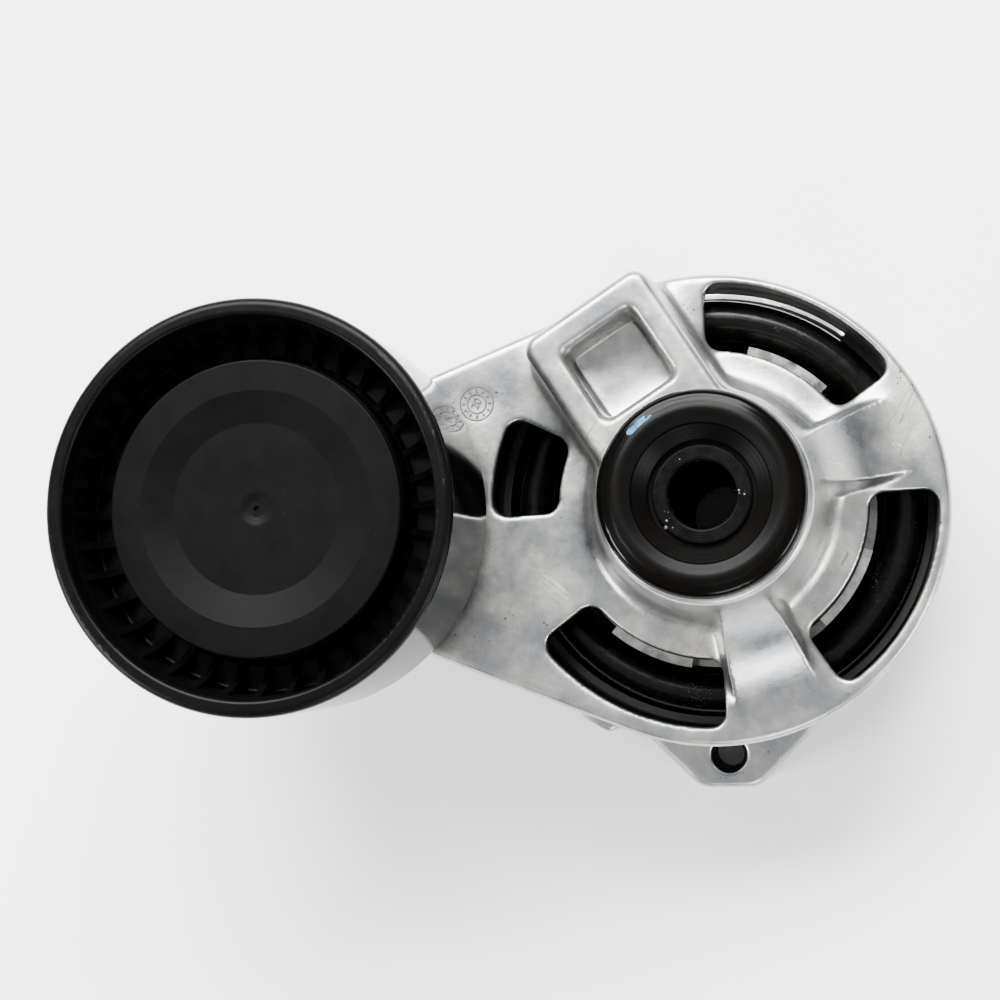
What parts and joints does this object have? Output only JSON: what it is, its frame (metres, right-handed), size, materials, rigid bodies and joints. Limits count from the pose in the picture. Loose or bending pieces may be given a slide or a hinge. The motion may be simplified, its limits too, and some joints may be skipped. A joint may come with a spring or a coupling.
{
  "type": "belt tensioner with idler pulley",
  "caption": "Spring-loaded belt tensioner: a cast arm turns on a mounting base and carries a smooth idler pulley, with a square drive socket for releasing the belt.",
  "frame": {"origin": "on the pivot axis, at the back mounting face of the base", "axes": "+Z along the pivot axis, away from the engine; at rest the pulley lies on -X; +Y towards the square drive socket"},
  "size_m": [0.1406, 0.0869, 0.0732],
  "materials": {
    "cast_aluminium": "as die-cast, matt grey with a fine mottle",
    "black_plastic": "moulded black nylon, satin",
    "cap_plastic": "moulded black nylon, fine matt texture",
    "black_steel": "black oxide, oiled, glossy",
    "tube_steel": "dark phosphated steel",
    "spring_steel": "black epoxy coat over spring steel",
    "bright_steel": "bare rolled steel strip",
    "bearing_steel": "ground bearing steel",
    "bolt_steel": "zinc plated",
    "dark_nylon": "black glass-filled nylon",
    "bush_plastic": "dark brown bearing plastic",
    "seal_rubber": "moulded rubber"
  },
  "bodies": {
    "base": {"base_housing": "cast_aluminium", "ear_sleeve": "tube_steel", "pivot_tube": "tube_steel", "front_disc": "black_steel", "spring_seat": "dark_nylon", "cup_liner": "dark_nylon", "torsion_spring": "spring_steel"},
    "arm": {"tension_arm": "cast_aluminium", "pivot_bush_front": "bush_plastic", "pivot_bush_rear": "bush_plastic", "thrust_washer": "bush_plastic", "damper_ring": "dark_nylon", "damper_band": "bright_steel", "pulley_bolt": "bolt_steel", "rear_slinger": "bolt_steel", "bearing_inner_ring": "bearing_steel"},
    "cage": {"bearing_balls": "bearing_steel", "ball_cage": "dark_nylon"},
    "pulley": {"idler_pulley": "black_plastic", "dust_cap": "cap_plastic", "bearing_outer_ring": "bearing_steel", "bearing_seal_front": "seal_rubber", "bearing_seal_rear": "seal_rubber"}
  },
  "joints": [
    {"name": "arm_pivot", "type": "hinge", "parent": "base", "child": "arm", "pos_m": [0, 0, 0], "axis": [0, 0, 1], "range_deg": [-42, 0], "stiffness_Nm_per_rad": 43, "springref_deg": 6.66, "deforming": ["torsion_spring"]},
    {"name": "pulley_spin", "type": "hinge", "parent": "arm", "child": "pulley", "pos_m": [-0.06935, 0, 0], "axis": [0, 0, 1], "continuous": true},
    {"name": "cage_spin", "type": "hinge", "parent": "arm", "child": "cage", "pos_m": [-0.06935, 0, 0], "axis": [0, 0, 1], "continuous": true}
  ],
  "couplings": [
    {"joint": "cage_spin", "follows": "pulley_spin", "ratio": 0.6182}
  ]
}
